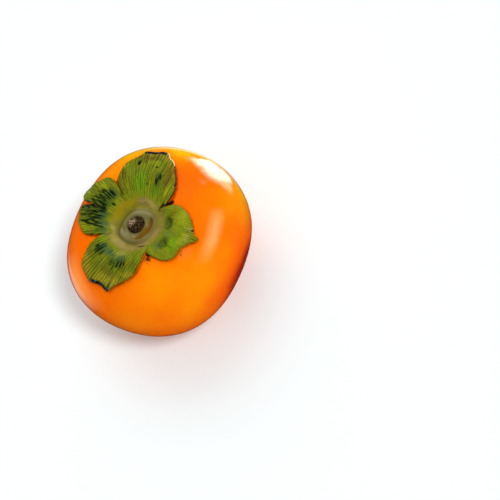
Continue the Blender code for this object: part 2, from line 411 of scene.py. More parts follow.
def calyx_spokes():
    """(lobe, around, edge reach) of every spoke, spread evenly over each lobe, its edge a little torn."""
    spokes = []
    for lobe, edge in enumerate(LOBES):
        start, end = edge[0][0], edge[-1][0]
        steps = round(CALYX_SPOKES * (end - start) / 360)
        for step in range(steps):
            turn = start + (end - start) * step / steps
            tear = noise.noise(Vector((turn * TEARS, 7.0 * lobe, 0)))
            tear += 0.5 * noise.noise(Vector((turn * FINE_TEARS, 0, 0)))
            torn = MM * TORN_EDGES[lobe] * math.sin(math.pi * step / steps) * tear
            spokes.append((lobe, math.radians(turn), lobe_reach(edge, turn) + torn))
    return spokes


def plan(turn, reach):
    """The plan position, in metres, of a turn in degrees and a reach in millimetres."""
    return Vector((math.cos(math.radians(turn)), math.sin(math.radians(turn)))) * MM * reach


# The calyx's marks are soft ovals. Each is the turn in degrees and the reach in mm of its centre,
# its half length and half width in mm, and the way it points in degrees.
OVAL_EDGE = 1.35  # where an oval has faded away, in half widths from its centre
OVAL_LIMIT = 1.4  # further off than this an oval isn't looked at


def cover(spot, ovals, softness=1.0):
    """How far the strongest of some ovals covers a spot, from 0 to 1."""
    most = 0.0
    for turn, reach, long, wide, lean in ovals:
        away = spot - plan(turn, reach)
        if away.length < OVAL_LIMIT * MM * max(long, wide):
            along = away.dot(plan(lean, 1000)) / (MM * long)
            across = away.dot(plan(lean + 90, 1000)) / (MM * wide)
            most = max(most, smooth_step(OVAL_EDGE, OVAL_EDGE - softness, math.hypot(along, across)))
    return most


DIMPLES = ((302.5, 14.3, 2.7, 2.2, 45), (270.5, 16.6, 2.8, 2.1, 0))
DIMPLE_SOFTNESS = 1.2

# Patches of colour on the lobes and on the disc, by the mask that they fill.
PATCHES = {
    "fresh": (
        (38, 16, 5, 3, 42), (8, 14, 3, 2, 30), (278, 19.3, 4, 1.8, 350), (158, 15.8, 1.8, 1, 60),
        (100, 16.2, 2.6, 1.1, 100), (93, 17.2, 2.2, 0.6, 95), (232, 20, 4, 1.8, 30),
        (318, 12.6, 3, 1.6, 330)),
    "lime": (
        (287, 21.3, 3.6, 1.4, 10), (311, 19.5, 4.5, 2.6, 60), (352, 17.8, 5, 2.2, 15),
        (132, 23.4, 3.6, 2.2, 110), (84.5, 23, 4, 2, 85), (22, 14.5, 3.4, 0.6, 30),
        (262, 12.5, 1.5, 0.9, 0), (30, 25, 2.6, 1.4, 120)),
    "paler": (
        (299, 23.9, 2.8, 1.2, 118), (290, 22.8, 1.8, 1, 20), (198, 25.8, 3, 1.6, 100),
        (202, 15.3, 4.4, 1.3, 110), (98, 27.8, 2, 1.2, 98)),
    "tan": (
        (20, 27.8, 3, 1.2, 100), (33, 29, 4.5, 1.3, 120), (48, 28.2, 3.6, 1.3, 140),
        (62, 24.6, 3.6, 0.9, 155), (10, 25, 3.4, 1.1, 72), (0, 22.2, 2.6, 1, 60), (165, 24.4, 3, 2, 70),
        (172, 26.8, 4.2, 2.6, 84), (189, 26.2, 4.2, 2.4, 98), (202, 25.2, 4.6, 1.8, 112),
        (216, 22.4, 3.2, 1.1, 130), (88, 27.4, 2.4, 1.1, 100), (112.5, 27.4, 1.6, 0.9, 20)),
    "dusk": (
        (182, 16.8, 5.6, 1.5, 92), (171, 17, 2.8, 1.3, 75), (205, 17.2, 2.4, 1.5, 130),
        (133, 15.2, 3, 1.7, 130), (83, 16.2, 2.2, 1.5, 80), (288, 15.8, 3.4, 2.2, 20),
        (262, 15.6, 3, 1.8, 80), (117, 15.4, 3.4, 1.4, 25), (148, 14.4, 2.2, 1.2, 60),
        (110, 23.4, 2.6, 1.6, 100)),
    "brown": (
        (7, 21.8, 6, 1.7, 42), (67, 18.5, 5, 1.5, 68), (36, 27, 5, 0.8, 123), (109, 20.5, 3.8, 1.1, 108),
        (213, 19, 3, 1.2, 150), (113.7, 27, 1.6, 0.7, 112), (96.5, 28, 1.6, 0.5, 97),
        (121, 25.4, 1.6, 0.9, 118), (192, 22.5, 5.5, 2, 98), (166, 22.3, 3, 1.3, 80),
        (345, 15.5, 2.4, 0.9, 0)),
    # dark green, and painted shade in the pointed lobe's two dimples
    "deep_green_and_dimple_shade": (
        (98, 17.4, 3.8, 2.6, 98), (120, 18.8, 6.2, 4.4, 118), (84, 16.8, 2.4, 2.2, 80),
        (199, 19, 1.6, 3.8, 199), (303, 14.1, 3, 2.2, 45), (270.5, 16.4, 2.9, 2, 0),
        (14, 18.6, 3.4, 1.5, 38), (112, 25, 3, 3, 112), (105, 18, 3.4, 2.2, 105), (142, 16, 2, 1.6, 140),
        (170, 18.4, 1.8, 2.4, 170)),
    "yellow": (
        (68, 10, 4, 2.6, 155), (102, 10.4, 5.4, 2.4, 10), (48, 11.6, 3, 1.2, 130), (262, 12.8, 2.2, 0.9, 0),
        (17, 13.6, 2.8, 1, 30)),
    "rosy": (
        (242, 11.6, 3.4, 2.2, 150), (212, 12.5, 3.4, 1.8, 120), (275, 10.8, 3.4, 1.6, 0),
        (30, 9.2, 2.8, 0.9, 115), (188, 12, 2.6, 1.4, 90)),
    "khaki": ((180, 11.8, 5.5, 2, 90), (5, 9.6, 4, 1.6, 90), (145, 11.5, 3, 1.4, 55)),
    "moss": ((95, 6.4, 5.6, 2, 0), (145, 8.4, 2, 1, 60)),
    # painted shade along the ring's flanks and outer edge
    "ring_shade_olive": (
        (80, 6, 2.4, 0.7, 170), (308, 6.9, 2.6, 1.3, 40), (146, 6.4, 2.2, 0.6, 60),
        (40, 8.4, 2.6, 0.35, 128), (52, 7.6, 2.4, 0.3, 140), (20, 8.6, 2.4, 0.3, 105)),
    # painted highlight on the lit side of the ring's crest
    "ring_crest_highlight": (
        (26, 4.2, 4.2, 1.9, 125), (354, 5.2, 3.4, 1.7, 100), (175, 7.6, 3.4, 1.4, 90),
        (215, 6.4, 2, 1, 130)),
}
# The trough inside the ring: amber tissue, darkened as painted shade.
AMBER_TROUGH_SHADE_PARTS = ((262, 6.3, 4.6, 2.5, 350), (236, 7.4, 2.8, 2.2, 325), (300, 6, 2.6, 1.8, 20))
AMBER_SOFTNESS = 0.8

# Zones where the fibres are bruised black, and where finer dark lines show between the ribs.
BRUISED_ZONES = ((110, 19.2, 6, 6.2, 110), (202, 19.3, 3.6, 1.5, 108), (170, 18.4, 2.6, 1.5, 165),
                 (91, 18.2, 3.6, 2, 92), (15, 18.6, 2.6, 1, 40))
STREAKED_ZONES = ((3, 22, 8, 4.5, 40), (38, 27, 7, 3, 123), (315, 16.6, 2.6, 2.4, 305),
                  (294, 24, 3.5, 2.4, 292), (62, 21, 3, 2, 60))

# Single bruised fibres that have gone black or dark green, drawn out along the lobe.
STROKES = (
    (124.5, 18, 2.4, 0.41, 118), (116.2, 18.7, 1.6, 0.34, 110), (116.2, 22, 1.9, 0.24, 118),
    (112.5, 22.8, 1.4, 0.3, 104), (130.5, 20.3, 2.1, 0.34, 107), (134, 18, 1.8, 0.27, 112),
    (108.5, 16.8, 1.9, 0.48, 106), (103, 17.8, 2.3, 0.34, 94), (89, 19.8, 1.3, 0.34, 100),
    (88, 17.4, 2.6, 0.24, 90), (83, 16.9, 1.5, 0.51, 84), (95.5, 18.8, 2, 0.3, 94),
    (103.5, 21.2, 1.6, 0.3, 98), (94.7, 13.6, 0.8, 0.6, 90), (113.5, 26, 1.6, 0.27, 112),
    (127, 22.4, 2.2, 0.4, 118), (119.5, 24.2, 1.5, 0.3, 116), (99, 20.8, 1.8, 0.3, 97),
    (137.5, 16.3, 1.6, 0.27, 120), (110.8, 24.4, 1.6, 0.27, 110), (164.5, 18.4, 0.9, 0.5, 158),
    (170.5, 18.2, 2, 0.31, 158), (176, 18.8, 1.1, 0.34, 166), (193.5, 19.4, 1.2, 0.24, 188),
    (198.5, 20.4, 1.4, 0.24, 192), (203, 19.2, 1.1, 0.27, 196), (206.8, 18.8, 1.2, 0.31, 198),
    (211.5, 18.4, 1, 0.3, 202), (16, 18, 1.5, 0.26, 42), (13, 19.6, 1, 0.24, 42), (298.3, 23.8, 0.5, 0.45, 0),
    (351.5, 20.4, 0.4, 0.35, 0), (27, 16.2, 0.3, 0.25, 0), (236, 12.2, 1.5, 0.22, 128),
    (24, 22.8, 0.4, 0.4, 0), (180, 30.2, 0.7, 0.6, 90), (91.5, 17.2, 1.8, 0.22, 90),
    (98.5, 18.2, 1.6, 0.25, 97), (106, 20, 1.6, 0.25, 103), (114, 16.6, 1.6, 0.3, 112),
    (119.5, 19.4, 2, 0.3, 116), (127, 19.6, 1.8, 0.28, 118), (132.5, 16.6, 1.6, 0.28, 114),
    (121, 16.6, 1.4, 0.3, 118), (92.5, 21.4, 1.4, 0.2, 93), (111.5, 19, 1.4, 0.25, 108),
    (106.5, 23.6, 1.4, 0.25, 104), (129.5, 17.4, 1.4, 0.25, 114))
STROKE_SOFTNESS = 0.55
ROUND_SPOT = ((43.6, 24.7, 1.05, 0.72, 43),)
SPOT_SOFTNESS = 0.4

# Edges that have dried to a brown scar.
SCARS = ((71.4, 16.4, 3.4, 0.42, 64), (109.2, 20.4, 2.6, 0.5, 108), (338, 12.8, 1.8, 0.5, -25),
         (150.5, 16.6, 2, 0.3, 150), (146, 18.6, 2.4, 0.3, 150))
SCAR_SOFTNESS = 0.7
BROWNED_UP_TO = 10  # the broad lobe's edge is browned up to this turn
EDGE_HIGHLIGHT_UP_TO = 24  # and carries a painted highlight from there to this one
# Borders of narrow marks: how far in they start to show, and where they are full.
BROWNED_EDGE = (0.0007, 0.0002)
EDGE_HIGHLIGHT_BORDER = (0.00045, 0.0002)
RIM_EDGE = (0.0007, 0.0)
RING_TINT = (0.0016, 0.0007)  # outwards from the ring's crest
LIME_BASE = (0.0042, 0.0005)  # outwards from where the green starts

# Tips that have dried black: the turns that they span, and such a border.
DRIED_TIPS = {BROAD: (24, 41.5, (0.0019, 0.0013)), BLUNT: (181, 200, (0.0016, 0.0009))}

# The pointed lobe is smoother, plainer and more evenly green than the others.
POINTED_LIME = 0.15
POINTED_DUSK = 0.4
POINTED_RIM = 0.45
LIME_BASE_STRENGTH = 0.6  # how lime the other lobes are where they leave the disc

# How far ragged borders stray, and over what size: softly for patches, and finely for strokes.
RAGGED = (0.0006, 0.0025)
FRAYED = (0.0003, 0.0009)


def strayed(spot, stray, size):
    """A spot moved a little by soft noise, which makes the border of an oval ragged there."""
    return spot + stray * noise.noise_vector(Vector((*spot, 0)) / size).to_2d()


def fibre_place(lobe, spot):
    """How far across the lobe's fibres and how far along them a spot lies."""
    away = spot - MM * Vector(FIBRE_SOURCES[lobe])
    return MM * MIDDLE_REACHES[lobe] * math.atan2(away.y, away.x), away.length


def fibre_noise(across, along, size, seed):
    """Soft noise drawn out along the fibres, about -1 to 1."""
    return noise.noise(Vector((across / size[0], along / size[1], seed)))


def ribs(across, along, lobe, spacing):
    """The dark lines between the ribs here, 0 to 1: thin, wavering, and fading in and out."""
    waver = RIB_WAVER * fibre_noise(across, along, RIB_WAVER_SIZE, 5.0 + lobe)
    wave = 0.5 + 0.5 * math.cos(2 * math.pi * (across / spacing + waver))
    fade = 0.65 + 0.9 * fibre_noise(across, along, RIB_FADE_SIZE, 11.0 + lobe)
    return smooth_step(0.45, 1.0, wave) * min(1.0, max(0.0, fade))


def bruises(across, along):
    """Short broken grooves along the fibres, 0 to 1."""
    groove = fibre_noise(across, along, BRUISE_SIZE, 3.0)
    groove += 0.35 * fibre_noise(across, along, FINE_BRUISE_SIZE, 8.0)
    return smooth_step(0.02, 0.26, groove)


def blade_lift(share, around, dimple):
    """How high the blade lies off the skin: pillowed, folded, and curled up at its edge in places."""
    pillow = LOBE_PILLOW * math.sin(math.pi * share) ** 2
    fold = 0.5 + 0.5 * math.sin(FOLDS_AROUND * around + 2 * math.sin(3 * around))
    curl = EDGE_CURL * smooth_step(CURL_START, 1.0, share) * (0.4 + 0.6 * math.sin(2 * around + 1.0) ** 2)
    lift = CALYX_GAP + pillow + FOLD_HEIGHT * fold * smooth_step(*FOLD_SPAN, share) + curl
    return max(LEAST_GAP, lift - DIMPLE_DROP * dimple)


def blade_thickness(share, inset, groove, crest):
    """The blade's thickness: thick on the disc and the ring, thinner in grooves and at its edge."""
    blade = DISC_THICKNESS + (BLADE_THICKNESS - DISC_THICKNESS) * smooth_step(0.0, DISC_BLEND, share)
    blade -= groove
    margin = smooth_step(*EDGE_MARGIN, inset)
    blade = EDGE_THICKNESS + (max(blade, EDGE_THICKNESS) - EDGE_THICKNESS) * margin
    return blade + (RING_THICKNESS - DISC_THICKNESS) * crest


def dried_tip(lobe, turn, inset):
    """1 where a lobe's tip has dried black."""
    first, last, border = DRIED_TIPS.get(lobe, (0, 0, None))
    return smooth_step(*border, inset) if first < turn < last else 0.0


calyx_shape = bmesh.new()
spokes = calyx_spokes()
ring_count = DISC_RINGS + LOBE_RINGS
bmesh.ops.create_grid(calyx_shape, x_segments=ring_count, y_segments=len(spokes), size=1)
thickness = calyx_shape.verts.layers.deform.verify()
grain = calyx_shape.verts.layers.float_vector.new("grain")
layers = {name: calyx_shape.verts.layers.float.new(name)
          for name in (*PATCHES, "amber_and_trough_shade", "leaf", "lines", "streaky", "bruise", "scar", "dimple", "rim_brown_and_shade", "tip",
                       "edge_highlight", "ring", "ring_shadow")}
for vert in calyx_shape.verts:
    # Where the point lies: its spoke and ring, its reach and its spot in the plan.
    ring = round((vert.co.x + 1) / 2 * ring_count)
    lobe, around, edge = spokes[round((vert.co.y + 1) / 2 * len(spokes)) % len(spokes)]
    turn = math.degrees(around)
    share = 1 - min(1.0, (ring_count - ring) / LOBE_RINGS) ** EDGE_CROWDING
    hole = STEM_RADIUS * (1 - (1 - STEM_OVAL) * math.sin(around) ** 2)
    if ring <= DISC_RINGS:
        reach = hole + (DISC_RADIUS - hole) * ring / DISC_RINGS
    else:
        reach = DISC_RADIUS + (edge - DISC_RADIUS) * share
    inset = edge - reach
    drawn = 1 - smooth_step(hole, STEM_DRAW_RADIUS, reach)
    spot = Vector((reach * math.cos(around), reach * math.sin(around))) + drawn * STEM_CENTRE
    loose = strayed(spot, *RAGGED)
    looser = strayed(spot, *FRAYED)
    across, along = fibre_place(lobe, spot)

    # Its marks.
    start = MM * GREEN_STARTS[lobe] + GREEN_WANDER * noise.noise(Vector((*spot, 0)) / GREEN_WANDER_SIZE)
    leaf = smooth_step(start - GREEN_BLEND, start + GREEN_BLEND, reach)
    streaky = cover(loose, STREAKED_ZONES)
    lines = RIB_STRENGTHS[lobe] * ribs(across, along, lobe, RIB_SPACING)
    lines = leaf * max(lines, streaky * ribs(across, along, lobe, FINE_RIB_SPACING))
    bruise = max(cover(looser, STROKES, STROKE_SOFTNESS), cover(spot, ROUND_SPOT, SPOT_SOFTNESS),
                 cover(loose, BRUISED_ZONES) * bruises(across, along))
    browned = smooth_step(*BROWNED_EDGE, inset) * (lobe == BROAD and turn < BROWNED_UP_TO)
    # A painted highlight along the broad lobe's lifted edge.
    edge_highlight = smooth_step(*EDGE_HIGHLIGHT_BORDER, inset) * (BROWNED_UP_TO < turn < EDGE_HIGHLIGHT_UP_TO)
    from_ring = spot - RING_CENTRE
    ring_turn = math.atan2(from_ring.y, from_ring.x)
    knuckle = math.cos(ring_turn - RING_KNUCKLE_TURN)
    off_crest = from_ring.length - RING_RADIUS - RING_KNUCKLE * knuckle ** 6
    # Painted shadow round the ring's outer flank, darker on one side.
    shaded = 0.35 + 0.65 * smooth_step(-0.3, 0.6, math.cos(ring_turn - RING_SHADOW_TURN))
    masks = {name: cover(loose, ovals) for name, ovals in PATCHES.items()}
    masks |= {"amber_and_trough_shade": cover(loose, AMBER_TROUGH_SHADE_PARTS, AMBER_SOFTNESS), "leaf": leaf, "lines": lines,
              "streaky": streaky, "bruise": bruise, "edge_highlight": edge_highlight,
              "scar": max(cover(looser, SCARS, SCAR_SOFTNESS), browned),
              "dimple": cover(spot, DIMPLES, DIMPLE_SOFTNESS),
              "rim_brown_and_shade": smooth_step(*RIM_EDGE, inset), "tip": dried_tip(lobe, turn, inset),
              "ring": smooth_step(*RING_TINT, off_crest),
              "ring_shadow": shaded * math.exp(-((off_crest - RING_SHADOW_OFFSET) / RING_SHADOW_WIDTH) ** 2)}
    if lobe == POINTED:
        masks["lime"] = max(masks["lime"], POINTED_LIME)
        masks["dusk"] *= POINTED_DUSK
        masks["rim_brown_and_shade"] *= POINTED_RIM
    else:
        masks["lime"] = max(masks["lime"], LIME_BASE_STRENGTH * smooth_step(*LIME_BASE, reach - start))
    for name, mask in masks.items():
        vert[layers[name]] = mask
    vert[grain] = (across / MM, along / MM, 7.0 * lobe)

    # Its height off the skin and the blade's thickness.
    bearing, distance = math.atan2(spot.y, spot.x), spot.length
    lift = blade_lift(share, around, cover(spot, DIMPLES))
    vert.co = crown_point(bearing, distance) + lift * crown_normal(bearing, distance)
    groove = RIB_DEPTH * lines + STROKE_DEPTH * bruise * leaf
    crest = math.exp(-(off_crest / RING_WIDTH) ** 2)
    vert[thickness][0] = blade_thickness(share, inset, groove, crest) / RING_THICKNESS
closing = [vert for vert in calyx_shape.verts if vert.is_boundary]
bmesh.ops.remove_doubles(calyx_shape, verts=closing, dist=0.01 * MM)
calyx_shape.normal_update()

# Leaf tissue: khaki on the disc, green on the lobes, with dark lines between its ribs, dusky and
# browned patches, black bruises, and brown where the edge has dried. It also carries painted light
# and shade: a highlight on the ring's crest and on one lifted edge, and shade round the ring, in its
# trough, in two dimples and partly in the edges' brown rim.
DISC_KHAKI = paint(132, 122, 38)
DISC_GREY = paint(112, 104, 44)
LEAF_GREEN = paint(98, 124, 1)
LEAF_OLIVE = paint(114, 114, 4)
LEAF_LIME = paint(146, 156, 14)
LEAF_PALE = paint(156, 156, 70)
DUSK_BLUE = paint(56, 88, 62)
LINE_GREEN = paint(50, 64, 2)
LINE_BROWN = paint(76, 40, 6)
BRUISE_GREEN = paint(10, 30, 10)
BRUISE_BLACK = paint(8, 12, 8)
SCAR_BROWN = paint(56, 24, 6)
CHAR_BLACK = paint(10, 12, 14)
CHAR_GREY = paint(96, 110, 108)
EDGE_BROWN = paint(88, 46, 10)
# the colour of the painted highlight on the broad lobe's lifted edge
EDGE_HIGHLIGHT_CREAM = paint(236, 216, 160)
# The coats of colour, one over the other: each one's mask, its strength and its colour.
# On the disc, the ring's crest carries a painted highlight, and painted shade lies round the ring, along its
# flanks and in its trough.
DISC_COATS = (("khaki", 0.8, paint(156, 144, 72)), ("yellow", 0.85, paint(142, 124, 3)),
              ("rosy", 0.7, paint(148, 124, 76)), ("ring", 0.9, paint(118, 111, 66)),
              ("ring_crest_highlight", 0.85, paint(136, 130, 90)), ("moss", 0.8, paint(114, 108, 8)),
              ("amber_and_trough_shade", 0.9, paint(116, 78, 2)), ("ring_shade_olive", 0.5, paint(84, 80, 20)),
              ("ring_shadow", 0.6, paint(60, 56, 28)))
LEAF_COATS = (("fresh", 0.9, paint(92, 142, 1)), ("lime", 0.8, LEAF_LIME), ("paler", 0.75, LEAF_PALE),
              ("tan", 0.9, paint(160, 140, 22)), ("brown", 0.5, paint(112, 82, 18)),
              ("deep_green_and_dimple_shade", 0.85, paint(38, 74, 14)))
FIBRE_STRETCH = (2.6, 0.3, 1.0)  # streaks across and along the fibres, to a millimetre
STREAK_STRENGTH = 0.5
DARK_SPECK_STRENGTH = 0.45
PALE_SPECK_STRENGTH = 0.35
DUSK_STRENGTH = 1.2
BLOTCH_SCALE = 300
SPECK_SCALE = 1700
LEAF_ROUGHNESS = (0.50, 0.68)
LEAF_SHEEN = 0.04
HOLLOW_DEPTH = 0.0016
VEIN_DEPTH = 0.0003
VEIN_STRENGTH = 0.6


def coated(tree, colour, coats):
    """The colour under some coats, each as strong as its mask on the mesh and its own strength."""
    for name, strength, coat in coats:
        colour = blend_colours(tree, joined(tree, attribute(tree, name), strength), colour, coat)
    return colour


calyx_material, tree, shader = new_material("calyx_leaf")
place = object_place(tree)
fibres = attribute(tree, "grain", "Vector")
stretched = add_node(tree, "ShaderNodeMapping", {"Vector": fibres, "Scale": FIBRE_STRETCH}).outputs["Vector"]
streaks = mottled(tree, stretched, 1.0, detail=4)
blotches = mottled(tree, place, BLOTCH_SCALE)
specks = mottled(tree, place, SPECK_SCALE)
disc = coated(tree, blend_colours(tree, blotches, DISC_KHAKI, DISC_GREY), DISC_COATS)
green = coated(tree, blend_colours(tree, blotches, LEAF_GREEN, LEAF_OLIVE), LEAF_COATS)
green = blend_colours(tree, spread(tree, streaks, 0.45, 1.0, 0.0, STREAK_STRENGTH), green, LINE_GREEN)
green = blend_colours(tree, spread(tree, streaks, 0.45, 0.0, 0.0, STREAK_STRENGTH), green, LEAF_LIME)
green = blend_colours(tree, spread(tree, specks, 0.4, 0.0, 0.0, DARK_SPECK_STRENGTH), green, LINE_GREEN)
pale_specks = joined(tree, joined(tree, specks, streaks), PALE_SPECK_STRENGTH)
green = blend_colours(tree, pale_specks, green, LEAF_PALE)
colour = blend_colours(tree, attribute(tree, "leaf"), disc, green)
dusk = joined(tree, attribute(tree, "dusk"), DUSK_STRENGTH)
dusk = joined(tree, dusk, spread(tree, streaks, 0.1, 0.9, 0.3, 0.85))
colour = blend_colours(tree, dusk, colour, DUSK_BLUE)
line_colour = blend_colours(tree, attribute(tree, "streaky"), LINE_GREEN, LINE_BROWN)
bruised = blend_colours(tree, specks, BRUISE_GREEN, BRUISE_BLACK)
charred = blend_colours(tree, spread(tree, streaks, 0.55, 0.9), CHAR_BLACK, CHAR_GREY)
# The brown rim along the lobes' edges is partly dried tissue and partly painted shade under the edge.
colour = coated(tree, colour, (("lines", 1.1, line_colour), ("scar", 0.9, SCAR_BROWN),
                               ("bruise", 0.95, bruised), ("rim_brown_and_shade", 0.55, EDGE_BROWN),
                               ("tip", 1.0, charred), ("edge_highlight", 1.0, EDGE_HIGHLIGHT_CREAM)))
hollows = raised(tree, attribute(tree, "dimple"), HOLLOW_DEPTH, invert=True)
veins = raised(tree, streaks, VEIN_DEPTH, VEIN_STRENGTH, under=hollows)
feed(tree, shader, {"Base Color": colour, "Roughness": mottled(tree, place, BLOTCH_SCALE, *LEAF_ROUGHNESS),
                    "Specular IOR Level": LEAF_SHEEN, "Normal": veins})

calyx = new_piece("calyx_leaf", calyx_shape, calyx_material)
calyx.vertex_groups.new(name="thickness")
sheet = calyx.modifiers.new("sheet", "SOLIDIFY")
sheet.thickness = RING_THICKNESS
sheet.offset = 1
sheet.vertex_group = "thickness"
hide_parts("calyx")

# Painted contact shade, with dust and brown juice, darkens the skin where the lobes' edges lie on it.
SEAM_WIDTH = 0.0006
outline = kdtree.KDTree(len(spokes))
for index, (lobe, around, edge) in enumerate(spokes):
    outline.insert((edge * math.cos(around), edge * math.sin(around), 0), index)
outline.balance()
seam_shade_and_dirt = skin.data.attributes.new("seam_shade_and_dirt", "FLOAT", "POINT")
for vert in skin.data.vertices:
    if vert.co.z > WIDEST_LEVEL:
        away = outline.find((vert.co.x, vert.co.y, 0))[2]
        seam_shade_and_dirt.data[vert.index].value = math.exp(-(away / SEAM_WIDTH) ** 2)


# ------------------------------------------------------------------------------
# The stem stub: the woody end of the fruit's stalk, snipped off and dried. It leans and tapers a
# little, and its cut top is domed, cracked from the pith outwards and dark brown, with a painted
# highlight on one side.
STEM_SIDES = 64
STEM_WALL_RINGS = 14
STEM_CAP_RINGS = 12
STEM_SPLITS = 6
STEM_GROWTH_RINGS = 9
STEM_FLARE = 0.0003
STEM_TAPER = 0.28
STEM_LEAN = Vector((-0.0005, 0.0003))
STEM_LUMPS = 0.0002
STEM_CRACK_DEPTH = 0.0003
STEM_SHOULDER = 0.20  # how far the cut's edge is rounded in, and how far its dome drops there
STEM_DOME = 0.22
STEM_FOOT_GAP = 0.00005
STEM_TOP = 0.93  # the cut's mean level and its highest, as shares of the solid's height
STEM_TOP_LIMIT = 0.97
STEM_TOP_LUMPS = 0.06
STEM_TOP_CRACKS = 0.10
# a painted highlight on the cut top, towards one side
LIT_PATCH_CENTRE = plan(145, 2.2)
LIT_PATCH_RADIUS = 0.0022


def ringed_cone(sides, rings, foot, top):
    """A closed cone or cylinder, one metre high about the origin, with this many rings in its wall."""
    shape = bmesh.new()
    bmesh.ops.create_cone(shape, cap_ends=True, segments=sides, radius1=foot, radius2=top, depth=1)
    walls = [edge for edge in shape.edges if abs(edge.verts[0].co.z - edge.verts[1].co.z) > 0.5]
    bmesh.ops.subdivide_edges(shape, edges=walls, cuts=rings, use_grid_fill=True)
    return shape


def stem_crack(around, out, up, here):
    """How deep the cut wood's splits and growth rings have cracked here, 0 to 1."""
    split = abs(math.sin(STEM_SPLITS / 2 * around + 2.2 * out + 1.8 * noise.noise(here * 1.4)))
    rings = abs(math.sin(STEM_GROWTH_RINGS * out + 1.6 * noise.noise(here * 2.1 + Vector((4, 0, 0)))))
    splits = smooth_step(0.35, 0.04, split) * smooth_step(0.12, 0.35, out)
    return max(splits, 0.6 * smooth_step(0.4, 0.05, rings) * up)


stem_low, stem_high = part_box("stem")
stem_height = stem_high.z - stem_low.z
stem_shape = ringed_cone(STEM_SIDES, STEM_WALL_RINGS, 1, 1)
for end in (1, -1):
    cap = [face for face in stem_shape.faces if face.normal.z * end > 0.9]
    for _ in range(STEM_CAP_RINGS):
        bmesh.ops.inset_region(stem_shape, faces=cap, thickness=1 / (STEM_CAP_RINGS + 1), use_even_offset=False)
crack_layer = stem_shape.verts.layers.float.new("crack")
lit_patch_layer = stem_shape.verts.layers.float.new("lit_patch")
for vert in stem_shape.verts:
    around, out = math.atan2(vert.co.y, vert.co.x), min(1.0, math.hypot(vert.co.x, vert.co.y))
    up = vert.co.z + 0.5
    here = Vector((math.cos(around), math.sin(around), 2 * up + out))
    crack = stem_crack(around, out, up, here)
    lumps = noise.noise(here * 3) * 0.6 + noise.noise(here * 8) * 0.4
    girth = STEM_RADIUS + STEM_FLARE * (1 - up) ** 2 + STEM_LUMPS * lumps - STEM_CRACK_DEPTH * crack
    reach = girth * out * (1 - STEM_SHOULDER * smooth_step(0.7, 1.0, up) * out)
    reach *= 1 - STEM_TAPER * smooth_step(0.35, 1.0, up)
    dome = 1 - STEM_DOME * smooth_step(0.2, 1.0, out) * up
    top = up * (STEM_TOP * dome - STEM_TOP_CRACKS * crack * up + STEM_TOP_LUMPS * lumps)
    vert.co = (STEM_CENTRE.x + up * STEM_LEAN.x + reach * math.cos(around),
               STEM_CENTRE.y + up * STEM_LEAN.y + STEM_OVAL * reach * math.sin(around),
               stem_low.z + STEM_FOOT_GAP + min(STEM_TOP_LIMIT, max(0.0, top)) * stem_height)
    vert[crack_layer] = crack
    from_lit_patch = (Vector((vert.co.x, vert.co.y)) - LIT_PATCH_CENTRE).length
    vert[lit_patch_layer] = up * smooth_step(1.3, 0.2, from_lit_patch / LIT_PATCH_RADIUS)
bmesh.ops.recalc_face_normals(stem_shape, faces=stem_shape.faces)

# Dry bark and cut wood, rough all over, with a painted highlight on one side of the cut top.
BARK_DARK = paint(24, 16, 6)
BARK_COLOURS = ((0.15, BARK_DARK), (0.5, paint(62, 40, 20)), (0.85, paint(84, 70, 34)))
HIGHLIGHT_WOOD = paint(222, 186, 156)
BARK_SCALE = 1300
BARK_ROUGHNESS = 0.75
BARK_SHEEN = 0.2
SPLINTER_DEPTH = 0.0003
SPLINTER_STRENGTH = 0.6

stem_material, tree, shader = new_material("stem_bark")
bark = mottled(tree, object_place(tree), BARK_SCALE, detail=5)
lit_patch = joined(tree, attribute(tree, "lit_patch"), spread(tree, bark, 0.25, 0.75))
brown = blend_colours(tree, lit_patch, ramp(tree, bark, BARK_COLOURS), HIGHLIGHT_WOOD)
brown = blend_colours(tree, attribute(tree, "crack"), brown, BARK_DARK)
feed(tree, shader, {"Base Color": brown, "Roughness": BARK_ROUGHNESS, "Specular IOR Level": BARK_SHEEN,
                    "Normal": raised(tree, bark, SPLINTER_DEPTH, SPLINTER_STRENGTH)})

stem = new_piece("stem_stub", stem_shape, stem_material)
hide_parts("stem")


# ------------------------------------------------------------------------------
# The style tip: the dried rest of the flower's style, a small dark point held in the dimple under
# the fruit's foot. It is left from the flower and never touches what the fruit stands on.
STYLE_SIDES = 20
STYLE_RINGS = 6
STYLE_POINT = 0.35  # the point's girth as a share of the root's
STYLE_FLUTES = 5
STYLE_FLUTE_DEPTH = 0.1
STYLE_DARK = paint(20, 15, 12)
STYLE_LIGHT = paint(58, 42, 28)
STYLE_SCALE = 2500
STYLE_ROUGHNESS = 0.85
PUCKER_DEPTH = 0.0002
PUCKER_STRENGTH = 0.5

style_low, style_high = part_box("style_tip")
style_height = style_high.z - style_low.z
style_radius = (style_high.x - style_low.x) / 2
style_shape = ringed_cone(STYLE_SIDES, STYLE_RINGS, STYLE_POINT, 1)
for vert in style_shape.verts:
    around, girth = math.atan2(vert.co.y, vert.co.x), math.hypot(vert.co.x, vert.co.y)
    flutes = STYLE_FLUTE_DEPTH * math.cos(STYLE_FLUTES * around + 3 * vert.co.z)
    reach = style_radius * girth * (1 - STYLE_FLUTE_DEPTH + flutes)
    vert.co = (reach * math.cos(around), reach * math.sin(around),
               style_low.z + style_height * (vert.co.z + 0.5))

style_material, tree, shader = new_material("dried_style")
wrinkles = mottled(tree, object_place(tree), STYLE_SCALE)
feed(tree, shader, {"Base Color": blend_colours(tree, wrinkles, STYLE_DARK, STYLE_LIGHT),
                    "Roughness": STYLE_ROUGHNESS,
                    "Normal": raised(tree, wrinkles, PUCKER_DEPTH, PUCKER_STRENGTH)})

style_tip = new_piece("style_rest", style_shape, style_material)
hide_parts("style_tip")


